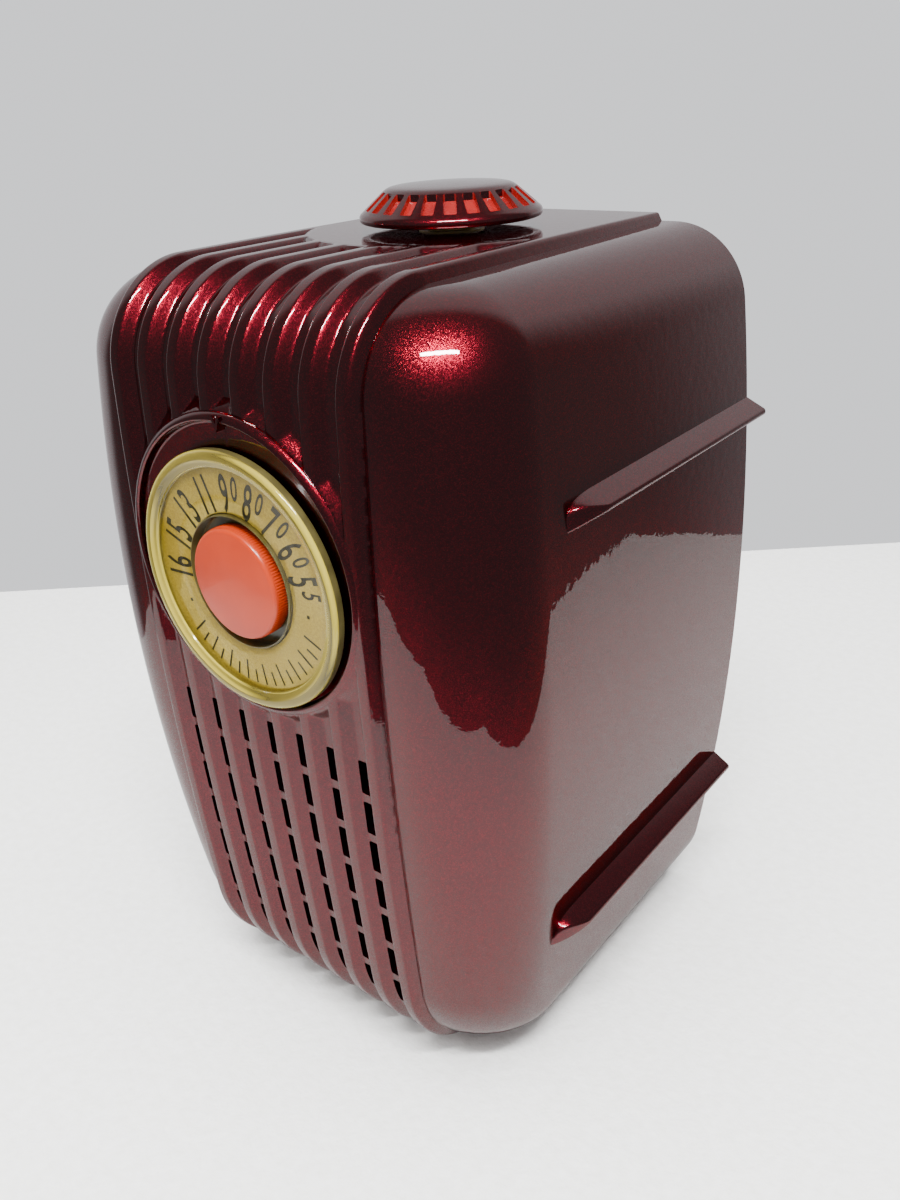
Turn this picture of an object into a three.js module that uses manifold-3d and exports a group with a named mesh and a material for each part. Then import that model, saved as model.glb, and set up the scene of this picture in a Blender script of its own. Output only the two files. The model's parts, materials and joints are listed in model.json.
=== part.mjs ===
// Upright table radio: moulded cabinet, printed tuning dial with a knob at its centre, pull-up handle on top, and
// the chassis, valves, loudspeaker and dial drive inside.
// Millimetres. +X is to the right of someone facing the dial, the front faces -Y, +Z is up, and the origin lies on
// the table below the middle of the whole object.
import * as THREE from "three";
import { mergeVertices } from "three/addons/utils/BufferGeometryUtils.js";
import Module from "manifold-3d";

const wasm = await Module();
wasm.setup();

// Driving dimensions of the cabinet
const REAR = 72; // y of the rear edge
const TOP = 229; // top of the ribbed band
const UNDERSIDE = 2;
const STEP = 3; // height of the band above the shoulders
const WALL = 3;
const BAND_HALF = 39.7;
const STEP_DRAFT = 1.6;
const FRONT = { y: 62, z: 145, radius: 1100 }; // crest of the bowed front
const FRONT_TOP = { z: 203, radius: 26 };
const FRONT_FOOT = { z: 42, radius: 40, angle: 0.094 };
const SIDE = { x: 71.4, z: 130, radius: 660 }; // crest of the bowed side
const SIDE_TOP = { z: 204, radius: 22 };
const SIDE_FOOT = { z: 26, radius: 24, angle: 0.157 };
const CORNER = 26; // upright front corners
const CROWN = 1.16e-4; // bow of the band's top
const RIBS = 8;
const RIB = 3.5; // width of a rib's flat top
const GROOVE_DEPTH = 2.7;
const GROOVE_SLOPE = 0.78; // run of a groove's side for each millimetre of its depth
const PITCH = (2 * BAND_HALF - RIB) / (RIBS - 1);
const FLOOR = PITCH - RIB - 2 * GROOVE_SLOPE * GROOVE_DEPTH; // width of a groove's floor
const SLOT = { rows: 7, top: 115.2, pitch: 12.8, height: 10.2 };

// Axes
const DIAL_Z = 157.2;
const BOSS = { z: 160.2, edge: 39.3, crest: 37.7, recess: 37, proud: 0.6, deep: 1.8, well: 4.4 };
const TUNER_Z = 112;
const HANDLE_Y = 28;

// Controls
const DIAL_RADIUS = 33.6;
const KNOB_RADIUS = 14.6;
const KNOB = { tip: -65.4, rear: -59.5 };
const HUB = { front: -60.7, rear: -58.2, well: 17.4 };
const MIDDLE = 3.3; // how far the middle of the whole object lies behind the plane that y is worked out from
const DIAL_TRAVEL = 210;
const TUNER_TRAVEL = 180;
const TUNER_DRUM = 20;
const DIAL_DRUM = (TUNER_DRUM * TUNER_TRAVEL) / DIAL_TRAVEL;
const TUNER_TO_MESH = (120 * TUNER_TRAVEL) / DIAL_TRAVEL; // degrees from rest to fully meshed
const HANDLE_RADIUS = 24.9;

// Chassis
const DECK = 34; // top of the chassis deck
const PANEL = { y: -8, thick: 1.2, half: 24, top: 176 };
const GAP = 0.3;

const radio = new THREE.Group();

// Six times the volume that a closed mesh encloses, negative when its faces point inwards
function signedVolume(positions, index) {
  const corner = (i) => new THREE.Vector3().fromArray(positions, 3 * index[i]);
  let sum = 0;
  for (let i = 0; i < index.length; i += 3) sum += corner(i).dot(corner(i + 1).cross(corner(i + 2)));
  return sum;
}

// A closed geometry as a solid whose faces point outwards
function solid(geometry) {
  const plain = geometry.clone();
  plain.deleteAttribute("normal");
  plain.deleteAttribute("uv");
  const merged = mergeVertices(plain, 1e-4);
  const vertProperties = new Float32Array(merged.attributes.position.array);
  const triVerts = new Uint32Array(merged.index.array);
  if (signedVolume(vertProperties, triVerts) < 0) triVerts.reverse();
  return new wasm.Manifold(new wasm.Mesh({ numProp: 3, vertProperties, triVerts }));
}

function geometryOf(made) {
  const mesh = made.getMesh();
  const geometry = new THREE.BufferGeometry();
  geometry.setAttribute("position", new THREE.BufferAttribute(mesh.vertProperties, 3));
  geometry.setIndex(new THREE.BufferAttribute(mesh.triVerts, 1));
  geometry.computeVertexNormals();
  return geometry;
}

const join = (pieces) => pieces.reduce((whole, piece) => whole.add(piece));

const cut = (whole, pieces) => pieces.reduce((left, piece) => left.subtract(piece), whole);

function add(name, made, material) {
  const mesh = new THREE.Mesh(geometryOf(made), material);
  mesh.name = name;
  mesh.position.y = -MIDDLE;
  radio.add(mesh);
}

const paint = (color, roughness, metalness) =>
  new THREE.MeshStandardMaterial({ color, roughness, metalness });

const FINISH = {
  lacquer: paint(0x5a0d1a, 0.12, 0.4),
  gold: paint(0xb9a557, 0.35, 0.5),
  clear: paint(0xe8dc9a, 0.05, 0),
  knob: paint(0xd8502c, 0.3, 0),
  board: paint(0x4a3323, 0.8, 0),
  steel: paint(0xa7a9ac, 0.4, 0.9),
  rubber: paint(0x1c1b1a, 0.8, 0),
  glass: paint(0xcfd6d8, 0.05, 0),
  bakelite: paint(0x2b1a12, 0.35, 0),
  aluminium: paint(0xc3c6c9, 0.35, 0.9),
  brass: paint(0xb08d45, 0.3, 0.9),
  paper: paint(0x2a2622, 0.9, 0),
  cloth: paint(0x3a2a1f, 0.95, 0),
  wax: paint(0x9a6a3a, 0.5, 0),
};

// Simple solids placed by their limits
function box([x0, x1], [y0, y1], [z0, z1]) {
  const geometry = new THREE.BoxGeometry(x1 - x0, y1 - y0, z1 - z0);
  return solid(geometry.translate((x0 + x1) / 2, (y0 + y1) / 2, (z0 + z1) / 2));
}

// A solid or ring of revolution: profile is [radius, height] points, closed on themselves or on the axis
function turned(profile, segments) {
  const points = profile.map(([radius, height]) => new THREE.Vector2(radius, height));
  if (profile[0][0] > 0) points.push(points[0].clone());
  return new THREE.LatheGeometry(points, segments);
}

// A lathe's own axis is Y, so an upright part is tipped onto Z and a part along Y stays as it is
const upright = (profile, x, y, segments = 16) =>
  solid(turned(profile, segments).rotateX(Math.PI / 2).translate(x, y, 0));

const along = (profile, x, z, segments = 20) => solid(turned(profile, segments).translate(x, 0, z));

// Closed ring profile between two radii and two heights
const ring = (inner, outer, low, high) => [
  [inner, low],
  [outer, low],
  [outer, high],
  [inner, high],
];

const disc = (radius, low, high) => [
  [0, low],
  [radius, low],
  [radius, high],
  [0, high],
];

// A flat shape in the XZ plane with a thickness along Y, from low to high
function slab(shape, low, high, steps = 8) {
  const geometry = new THREE.ExtrudeGeometry(shape, {
    depth: high - low,
    bevelEnabled: false,
    curveSegments: steps,
  });
  return solid(geometry.rotateX(Math.PI / 2).translate(0, high, 0));
}

// A flat shape in the YZ plane with a thickness along X, centred on x
function rib(points, x, width) {
  const shape = new THREE.Shape(points.map(([y, z]) => new THREE.Vector2(y, z)));
  const geometry = new THREE.ExtrudeGeometry(shape, { depth: width, bevelEnabled: false });
  geometry.applyMatrix4(new THREE.Matrix4().set(0, 0, 1, x - width / 2, 1, 0, 0, 0, 0, 1, 0, 0, 0, 0, 0, 1));
  return solid(geometry);
}

function roundedBox(halfX, halfY, radius, x, y, [low, high]) {
  const shape = new THREE.Shape();
  shape.absarc(x + halfX - radius, y + halfY - radius, radius, 0, Math.PI / 2);
  shape.absarc(x - halfX + radius, y + halfY - radius, radius, Math.PI / 2, Math.PI);
  shape.absarc(x - halfX + radius, y - halfY + radius, radius, Math.PI, 1.5 * Math.PI);
  shape.absarc(x + halfX - radius, y - halfY + radius, radius, 1.5 * Math.PI, 2 * Math.PI);
  const geometry = new THREE.ExtrudeGeometry(shape, {
    depth: high - low,
    bevelEnabled: false,
    curveSegments: 3,
  });
  return solid(geometry.translate(0, 0, low));
}

// Outline of the cabinet's front and side, as functions of height
// inset is measured in from the ribbed band, and floor is the height of the lowest point
function frontAt(z, inset, floor) {
  const crest = (height) => FRONT.y - (height - FRONT.z) ** 2 / (2 * FRONT.radius) - inset;
  if (z > FRONT_TOP.z) {
    const radius = FRONT_TOP.radius - inset;
    const rise = Math.min(z - FRONT_TOP.z, radius);
    return crest(FRONT_TOP.z) - radius + Math.sqrt(radius ** 2 - rise ** 2);
  }
  const radius = FRONT_FOOT.z - floor;
  const join = FRONT_FOOT.z - radius * Math.sin(FRONT_FOOT.angle);
  if (z > join) return crest(z);
  const drop = Math.min(FRONT_FOOT.z - z, radius);
  return crest(join) - radius * Math.cos(FRONT_FOOT.angle) + Math.sqrt(radius ** 2 - drop ** 2);
}

// inset is measured in from the shoulder's own surface
function sideAt(z, inset) {
  const crest = (height) => SIDE.x - (height - SIDE.z) ** 2 / (2 * SIDE.radius);
  if (z > SIDE_TOP.z) {
    const radius = SIDE_TOP.radius - inset;
    const rise = Math.min(z - SIDE_TOP.z, radius);
    return crest(SIDE_TOP.z) - SIDE_TOP.radius + Math.sqrt(radius ** 2 - rise ** 2);
  }
  const join = SIDE_FOOT.z - SIDE_FOOT.radius * Math.sin(SIDE_FOOT.angle);
  if (z > join) return crest(z) - inset;
  const radius = SIDE_FOOT.radius - inset;
  const centre = crest(join) - SIDE_FOOT.radius * Math.cos(SIDE_FOOT.angle);
  const drop = Math.min(SIDE_FOOT.z - z, radius);
  return centre + Math.sqrt(radius ** 2 - drop ** 2);
}

// Heights of the cabinet's sections, close together round the top and bottom corners
function heights(inset) {
  const levels = [];
  const low = UNDERSIDE + inset;
  const high = TOP - STEP - inset;
  const foot = FRONT_FOOT.z - low;
  const head = high - SIDE_TOP.z;
  for (let i = 0; i <= 8; i++) levels.push(FRONT_FOOT.z - foot * Math.cos((i / 8) * 1.45));
  for (let i = 1; i <= 7; i++) levels.push(levels[8] + ((SIDE_TOP.z - levels[8]) * i) / 7);
  for (let i = 1; i <= 7; i++) levels.push(SIDE_TOP.z + head * Math.sin((i / 7) * (Math.PI / 2)));
  return levels;
}

// A rounded plan section with a square rear, counter-clockwise from above
function section(z, inset, rear) {
  const half = sideAt(z, inset);
  const front = frontAt(z, STEP + inset, UNDERSIDE + inset);
  const lost = SIDE.x - (z - SIDE.z) ** 2 / (2 * SIDE.radius) - half - inset;
  const radius = Math.max(CORNER - inset - lost, 4);
  const points = [new THREE.Vector3(half, rear, z), new THREE.Vector3(-half, rear, z)];
  for (const [x, start] of [
    [radius - half, Math.PI],
    [half - radius, 1.5 * Math.PI],
  ])
    for (let i = 0; i <= 6; i++) {
      const angle = start + (i / 6) * (Math.PI / 2);
      const y = radius - front;
      points.push(new THREE.Vector3(x + radius * Math.cos(angle), y + radius * Math.sin(angle), z));
    }
  return points;
}

// A closed skin over a stack of convex sections
function loft(sections) {
  const count = sections[0].length;
  const positions = sections.flat().flatMap((point) => point.toArray());
  const index = [];
  for (let level = 0; level + 1 < sections.length; level++)
    for (let i = 0; i < count; i++) {
      const a = level * count + i;
      const b = level * count + ((i + 1) % count);
      index.push(a, b, b + count, a, b + count, a + count);
    }
  const last = (sections.length - 1) * count;
  for (let i = 1; i + 1 < count; i++) {
    index.push(0, i + 1, i);
    index.push(last, last + i, last + i + 1);
  }
  const geometry = new THREE.BufferGeometry();
  geometry.setAttribute("position", new THREE.Float32BufferAttribute(positions, 3));
  geometry.setIndex(index);
  return solid(geometry);
}

// [y, z] points of the band's outline from under the front, up and over to the rear
function bandOutline(inset, floor, first, rear) {
  const points = [];
  const foot = FRONT_FOOT.z - floor;
  const head = FRONT_TOP.radius - inset;
  const top = (y) => FRONT_TOP.z + head - CROWN * (y + 11) ** 2;
  for (let i = 0; i <= 7; i++) {
    const z = FRONT_FOOT.z - foot * Math.cos(first + (i / 7) * (1.47 - first));
    points.push([-frontAt(z, inset, floor), z]);
  }
  const start = points[7][1];
  for (let i = 1; i <= 6; i++) {
    const z = start + ((FRONT_TOP.z - start) * i) / 6;
    points.push([-frontAt(z, inset, floor), z]);
  }
  for (let i = 1; i <= 6; i++) {
    const z = FRONT_TOP.z + head * Math.sin((i / 6) * (Math.PI / 2));
    points.push([-frontAt(z, inset, floor), z]);
  }
  const [corner, crest] = points[points.length - 1];
  points[points.length - 1][1] = Math.min(crest, top(corner));
  for (let i = 1; i <= 3; i++) {
    const y = corner + ((rear - corner) * i) / 3;
    points.push([y, top(y)]);
  }
  return points;
}

// The band: the outline drawn across the front and top, with drafted flanks
function band() {
  const outline = [[REAR + 9, UNDERSIDE], ...bandOutline(0, UNDERSIDE, 0, REAR + 9)].reverse();
  const shape = new THREE.Shape(outline.map(([y, z]) => new THREE.Vector2(y, z)));
  const geometry = new THREE.ExtrudeGeometry(shape, {
    depth: 2 * BAND_HALF,
    bevelThickness: STEP_DRAFT,
    bevelSize: STEP,
    bevelOffset: -STEP,
    bevelSegments: 1,
  });
  geometry.applyMatrix4(new THREE.Matrix4().set(0, 0, 1, -BAND_HALF, 1, 0, 0, 0, 0, 1, 0, 0, 0, 0, 0, 1));
  return solid(geometry).intersect(box([-60, 60], [-100, REAR], [UNDERSIDE, 250]));
}

// One groove with sloped sides, stopped by the round boss and the round pad, whose edges slope down to its floor
function groove(number, pads) {
  const x = -BAND_HALF + RIB / 2 + PITCH / 2 + number * PITCH;
  const rise = 2;
  const half = FLOOR / 2;
  const spread = half + GROOVE_SLOPE * (GROOVE_DEPTH + rise);
  const floor = bandOutline(GROOVE_DEPTH, UNDERSIDE + GROOVE_DEPTH, 0.5, HANDLE_Y);
  const above = bandOutline(-rise, UNDERSIDE - rise, 0.5, HANDLE_Y);
  const sections = floor.map(([y, z], i) => {
    const [yAbove, zAbove] = above[i];
    return [
      new THREE.Vector3(x - half, y, z),
      new THREE.Vector3(x + half, y, z),
      new THREE.Vector3(x + spread, yAbove, zAbove),
      new THREE.Vector3(x - spread, yAbove, zAbove),
    ];
  });
  return cut(loft(sections), pads);
}

function pads() {
  const flare = GROOVE_DEPTH + 1.5;
  const dialPad = [
    [0, -FRONT.y - 5],
    [BOSS.edge, -FRONT.y - 5],
    [BOSS.edge, -FRONT.y],
    [BOSS.edge + flare, -FRONT.y + flare],
    [0, -FRONT.y + flare],
  ];
  const handlePad = [
    [0, TOP - flare],
    [BAND_HALF + flare, TOP - flare],
    [BAND_HALF, TOP],
    [BAND_HALF, TOP + 5],
    [0, TOP + 5],
  ];
  return [along(dialPad, 0, BOSS.z, 40), upright(handlePad, 0, HANDLE_Y, 40)];
}

// Slots in the groove floors below the dial
function grilleSlots() {
  const slots = [];
  for (let column = 0; column < RIBS - 1; column++)
    for (let row = 0; row < SLOT.rows; row++) {
      const x = -BAND_HALF + RIB / 2 + PITCH / 2 + column * PITCH;
      const top = SLOT.top - row * SLOT.pitch;
      slots.push(box([x - FLOOR / 2, x + FLOOR / 2], [-70, -38], [top - SLOT.height, top]));
    }
  return slots;
}

// A horizontal fin along one side, rounded into the wall at its front
function fin(side, { root, edge, lip, foot, front }) {
  const profile = [
    [root[0] - 4, foot],
    [root[0], foot],
    [edge[0], edge[1] - lip],
    [edge[0], edge[1]],
    [root[0], root[1]],
    [root[0] - 4, root[1]],
  ];
  const shape = new THREE.Shape(profile.map(([x, z]) => new THREE.Vector2(x, z)));
  const geometry = new THREE.ExtrudeGeometry(shape, { depth: REAR - front, bevelEnabled: false });
  const bar = solid(geometry.rotateX(Math.PI / 2).translate(0, REAR, 0));
  const reach = edge[0] - root[0] + 6;
  const plan = new THREE.Shape();
  plan.absellipse(root[0] - 5.5, front + 17, reach, 17, 1.5 * Math.PI, 2 * Math.PI);
  plan.lineTo(edge[0] + 0.5, REAR);
  plan.lineTo(root[0] - 5.5, REAR);
  const nose = new THREE.ExtrudeGeometry(plan, { depth: 240, bevelEnabled: false, curveSegments: 7 });
  const made = bar.intersect(solid(nose));
  return side > 0 ? made : solid(geometryOf(made).scale(-1, 1, 1));
}

const UPPER_FIN = { root: [69.2, 180.5], edge: [75.4, 176.2], lip: 1.2, foot: 171, front: -27 };
const LOWER_FIN = { root: [68, 58.4], edge: [72.8, 53.6], lip: 1.2, foot: 50, front: -29 };
const POSTS = [
  [52.5, 15.5],
  [56.5, 213.5],
];
const FEET = [
  [-34, -8],
  [34, -8],
  [-34, 56],
  [34, 56],
];
const CHASSIS_SCREWS = [-38, 38];
const CHASSIS_SCREW_Y = 24;
const COVER = { front: 67, rear: 69 };
const INLET = { x: -30, z: 15 };

function cabinet() {
  const shell = loft(heights(0).map((z) => section(z, 0, REAR)));
  const hollow = loft(heights(WALL).map((z) => section(z, WALL, REAR + 5)));
  const stops = pads();
  const grooves = Array.from({ length: RIBS - 1 }, (_, number) => groove(number, stops));
  const posts = POSTS.flatMap(([x, z]) =>
    [-x, x].map((side) => along(ring(1.3, 5, 52, COVER.front - GAP), side, z, 12)),
  );
  const fins = [1, -1].flatMap((side) => [fin(side, UPPER_FIN), fin(side, LOWER_FIN)]);
  const holes = [
    along(disc(7.8, -80, -40), 0, DIAL_Z),
    along(disc(BOSS.recess, -FRONT.y - 3, -FRONT.y + BOSS.deep), 0, BOSS.z, 40),
    along(disc(21, -FRONT.y - 3, -FRONT.y + BOSS.well), 0, DIAL_Z, 28),
    upright(disc(6.8, TOP - 12, TOP + 5), 0, HANDLE_Y),
    ...FEET.map(([x, y]) => upright(disc(2.3, -4, 8), x, y, 8)),
    ...CHASSIS_SCREWS.map((x) => upright(disc(1.8, -4, 8), x, CHASSIS_SCREW_Y, 8)),
  ];
  const body = cut(join([shell, band(), ...fins]), [...grooves, hollow]);
  const bead = along(
    [
      [BOSS.recess - 1, -FRONT.y + 1],
      [BOSS.recess - 1, -FRONT.y - BOSS.proud],
      [BOSS.crest, -FRONT.y - BOSS.proud],
      [BOSS.edge, -FRONT.y],
      [BOSS.edge - 0.4, -FRONT.y + 1],
    ],
    0,
    BOSS.z,
    40,
  );
  const pointer = rib(
    [
      [-FRONT.y + 1.5, BOSS.z + BOSS.edge + 0.4],
      [-FRONT.y - 0.8, BOSS.z + BOSS.edge + 0.4],
      [-FRONT.y - 0.8, BOSS.z + BOSS.crest - 0.2],
      [-FRONT.y + 1.5, BOSS.z + BOSS.crest - 0.2],
    ],
    0,
    1.6,
  );
  return cut(join([body, ...posts, bead, pointer]), [join(grilleSlots()), ...holes]);
}

// Rear cover: vented board that closes the opening
function coverOutline(inset) {
  const shape = new THREE.Shape();
  const low = UNDERSIDE + inset;
  const high = TOP - STEP - inset;
  const right = [];
  for (let i = 1; i <= 5; i++)
    right.push(SIDE_FOOT.z - (SIDE_FOOT.z - low) * Math.cos((i / 5) * (Math.PI / 2)));
  for (let i = 1; i <= 5; i++) right.push(SIDE_FOOT.z + ((SIDE_TOP.z - SIDE_FOOT.z) * i) / 5);
  for (let i = 1; i <= 4; i++) right.push(SIDE_TOP.z + (high - SIDE_TOP.z) * Math.sin((i / 5) * (Math.PI / 2)));
  const points = right.map((z) => [sideAt(z, inset), z]);
  shape.moveTo(-sideAt(low, inset), low);
  shape.lineTo(sideAt(low, inset), low);
  for (const [x, z] of points) shape.lineTo(x, z);
  shape.lineTo(sideAt(high, inset), high);
  shape.lineTo(-sideAt(high, inset), high);
  for (const [x, z] of points.reverse()) shape.lineTo(-x, z);
  return shape;
}

function rearCover() {
  const board = slab(coverOutline(WALL + GAP), COVER.front, COVER.rear);
  const vents = [];
  for (const z of [190, 180, 170, 160, 60, 50])
    for (const x of [-30, 0, 30]) vents.push(box([x - 11, x + 11], [60, 75], [z - 2, z + 2]));
  const holes = POSTS.flatMap(([x, z]) => [-x, x].map((side) => along(disc(1.8, 60, 75), side, z, 8)));
  return cut(board, [...vents, ...holes, along(disc(4.4, 60, 75), INLET.x, INLET.z, 16)]);
}

// Screw from its tip to the seat of its head; height is signed, away from the tip
const screwProfile = (tip, seat, height) => [
  [0, tip],
  [1, tip],
  [1, seat],
  [3.2, seat],
  [2.6, seat + height * 0.85],
  [0, seat + height],
];

// Deck, side walls and the upright panel that carries the tuner and the volume control
function chassis() {
  const plates = [
    box([-58, 58], [PANEL.y, 60], [DECK - 1.2, DECK]),
    box([-41, -39.8], [PANEL.y, 60], [5.4, DECK - 1]),
    box([39.8, 41], [PANEL.y, 60], [5.4, DECK - 1]),
    box([-41, -32], [PANEL.y + 16, 46], [5.4, 6.6]),
    box([32, 41], [PANEL.y + 16, 46], [5.4, 6.6]),
    box([-PANEL.half, PANEL.half], [PANEL.y, PANEL.y + PANEL.thick], [DECK - 1, PANEL.top]),
  ];
  const holes = [
    along(disc(3.4, PANEL.y - 2, PANEL.y + 4), 0, DIAL_Z, 16),
    along(disc(2.9, PANEL.y - 2, PANEL.y + 4), 0, TUNER_Z, 16),
    ...CHASSIS_SCREWS.map((x) => upright(disc(1.4, 5, 8), x, CHASSIS_SCREW_Y, 8)),
    ...TUBES.map(([x, y]) => upright(disc(9, DECK - 5, DECK + 2), x, y, 12)),
  ];
  return cut(join(plates), holes);
}

// [x, y, envelope radius, height] of each valve
const TUBES = [
  [-44, 44, 11, 52],
  [-15, 47, 10, 48],
  [15, 47, 10, 48],
  [44, 44, 12, 58],
  [46, 14, 10, 48],
];

function tube([x, y, radius, height]) {
  const base = DECK + 4;
  const profile = [
    [0, base],
    [radius + 0.6, base],
    [radius + 0.6, base + 9],
    [radius, base + 10],
    [radius, base + height - radius],
    [radius * 0.75, base + height - radius * 0.35],
    [radius * 0.3, base + height],
    [0, base + height + 1],
  ];
  return upright(profile, x, y, 14);
}

const socket = ([x, y, radius]) =>
  upright(
    [
      [0, DECK - 4],
      [8.6, DECK - 4],
      [8.6, DECK + GAP],
      [radius + 1.6, DECK + GAP],
      [radius + 1.6, DECK + 3.7],
      [0, DECK + 3.7],
    ],
    x,
    y,
    14,
  );

// Tuning capacitor: fixed plates on a frame, and half-round moving plates on the shaft
const PLATES = { first: 2, pitch: 3, fixed: 6, thick: 0.8, radius: 15 };

function capacitorFrame() {
  const front = PANEL.y + PANEL.thick + GAP;
  const rear = 24;
  const parts = [
    box([-20, 20], [front, front + 1.2], [TUNER_Z - 24, TUNER_Z + 17]),
    box([-20, 20], [rear, rear + 1.2], [TUNER_Z - 24, TUNER_Z + 17]),
    box([-20, 20], [front, rear + 1], [TUNER_Z - 24, TUNER_Z - 22.6]),
    box([-12, 12], [front + 1, rear], [TUNER_Z - 23, TUNER_Z - 17]),
  ];
  for (let i = 0; i < PLATES.fixed; i++) {
    const y = PLATES.first + i * PLATES.pitch;
    parts.push(box([-17, 17], [y, y + PLATES.thick], [TUNER_Z - 18, TUNER_Z - 1]));
  }
  return cut(join(parts), [along(disc(4.6, 0, 22), 0, TUNER_Z, 12), along(disc(2.9, -12, 40), 0, TUNER_Z, 12)]);
}

function capacitorRotor() {
  const parts = [along(disc(2.5, -14, 25), 0, TUNER_Z, 12)];
  const half = new THREE.Shape();
  const turn = THREE.MathUtils.degToRad(-TUNER_TO_MESH);
  half.absarc(0, 0, PLATES.radius, Math.PI, 2 * Math.PI);
  for (let i = 0; i + 1 < PLATES.fixed; i++) {
    const y = PLATES.first + (i + 0.5) * PLATES.pitch;
    const geometry = new THREE.ExtrudeGeometry(half, {
      depth: PLATES.thick,
      bevelEnabled: false,
      curveSegments: 8,
    });
    geometry.rotateX(Math.PI / 2).translate(0, PLATES.thick, 0).rotateY(-turn);
    parts.push(solid(geometry.translate(0, y, TUNER_Z)));
  }
  return join(parts);
}

// Drums of the dial drive, with a groove for the cord
const DRUM = { low: -13.6, high: -10 };
const CORD = 0.8;

const drum = (radius, bore, z) =>
  along(
    [
      [bore, DRUM.low],
      [radius + 1.4, DRUM.low],
      [radius + 1.4, DRUM.low + 0.7],
      [radius - GAP, DRUM.low + 1.2],
      [radius - GAP, DRUM.high - 1.2],
      [radius + 1.4, DRUM.high - 0.7],
      [radius + 1.4, DRUM.high],
      [bore, DRUM.high],
    ],
    0,
    z,
    22,
  );

function driveCord() {
  const reach = DIAL_Z - TUNER_Z;
  const tilt = Math.asin((TUNER_DRUM - DIAL_DRUM) / reach);
  const loop = (shape, extra) => {
    shape.absarc(0, DIAL_Z, DIAL_DRUM + extra, -tilt, Math.PI + tilt);
    shape.absarc(0, TUNER_Z, TUNER_DRUM + extra, Math.PI + tilt, 2 * Math.PI - tilt);
    shape.closePath();
    return shape;
  };
  const shape = loop(new THREE.Shape(), CORD);
  shape.holes.push(loop(new THREE.Path(), 0));
  const middle = (DRUM.low + DRUM.high) / 2;
  return slab(shape, middle - CORD / 2, middle + CORD / 2, 14);
}

// Printed disc under a clear lens with a raised rim, both open in the middle, where the knob sits in the hub's well
const DISC = { rear: -61, front: -61.6 };
const LENS = { rear: -61.9, face: -62.8, crest: -64.1 };

const dialLens = () =>
  along(
    [
      [HUB.well, LENS.face],
      [DIAL_RADIUS - 4, LENS.face],
      [DIAL_RADIUS - 2.2, LENS.crest],
      [DIAL_RADIUS - 1, LENS.crest],
      [DIAL_RADIUS, LENS.crest + 0.9],
      [DIAL_RADIUS, DISC.rear],
      [DIAL_RADIUS - 2.2, DISC.rear],
      [DIAL_RADIUS - 2.2, LENS.rear],
      [HUB.well, LENS.rear],
    ],
    0,
    DIAL_Z,
    40,
  );

const tuningHub = () =>
  along(
    [
      [5.3, HUB.rear - 1],
      [HUB.well, HUB.rear - 1],
      [HUB.well, HUB.front],
      [20, HUB.front],
      [20, HUB.front + 1],
      [HUB.well + 1, HUB.front + 1],
      [HUB.well + 1, HUB.rear],
      [5.3, HUB.rear],
    ],
    0,
    DIAL_Z,
    24,
  );

const volumeKnob = () =>
  along(
    [
      [0, KNOB.tip],
      [KNOB_RADIUS * 0.55, KNOB.tip + 0.3],
      [KNOB_RADIUS - 1.2, KNOB.tip + 0.9],
      [KNOB_RADIUS - 0.2, KNOB.tip + 1.7],
      [KNOB_RADIUS, KNOB.rear],
      [3.2, KNOB.rear],
      [3.2, KNOB.tip + 2.6],
      [0, KNOB.tip + 2.6],
    ],
    0,
    DIAL_Z,
    30,
  );

// Loudspeaker
const SPEAKER = { z: 72, flange: -43, radius: 45 };

const speakerFrame = () =>
  along(
    [
      [SPEAKER.radius - 4, SPEAKER.flange],
      [SPEAKER.radius, SPEAKER.flange],
      [SPEAKER.radius, SPEAKER.flange + 1.5],
      [SPEAKER.radius - 5, SPEAKER.flange + 2],
      [14, SPEAKER.flange + 18],
      [9.5, SPEAKER.flange + 18],
      [9.5, SPEAKER.flange + 16.5],
      [13, SPEAKER.flange + 16.5],
    ],
    0,
    SPEAKER.z,
  );

const speakerCone = () =>
  along(
    [
      [7.2, SPEAKER.flange + 13.2],
      [SPEAKER.radius - 7, SPEAKER.flange],
      [SPEAKER.radius - 7, SPEAKER.flange + 0.8],
      [8.2, SPEAKER.flange + 13.8],
      [8.2, SPEAKER.flange + 20],
      [7.2, SPEAKER.flange + 20],
    ],
    0,
    SPEAKER.z,
  );

const speakerMagnet = () =>
  along(
    [
      [0, SPEAKER.flange + 17],
      [6, SPEAKER.flange + 17],
      [6, SPEAKER.flange + 22.5],
      [9.4, SPEAKER.flange + 22.5],
      [9.4, SPEAKER.flange + 18.4],
      [16, SPEAKER.flange + 18.4],
      [16, SPEAKER.flange + 28],
      [0, SPEAKER.flange + 28],
    ],
    0,
    SPEAKER.z,
    20,
  );

function baffle() {
  const board = box([-48, 48], [-45.3, -43.3], [28.2, 121]);
  return cut(board, [along(disc(SPEAKER.radius - 5, -50, -40), 0, SPEAKER.z)]);
}

function outputTransformer() {
  const core = box([-16, 16], [-3, 9], [DECK + GAP, DECK + 27]);
  const winding = box([-9, 9], [-6, 12], [DECK + 5, DECK + 22]);
  return core.add(winding);
}

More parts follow.
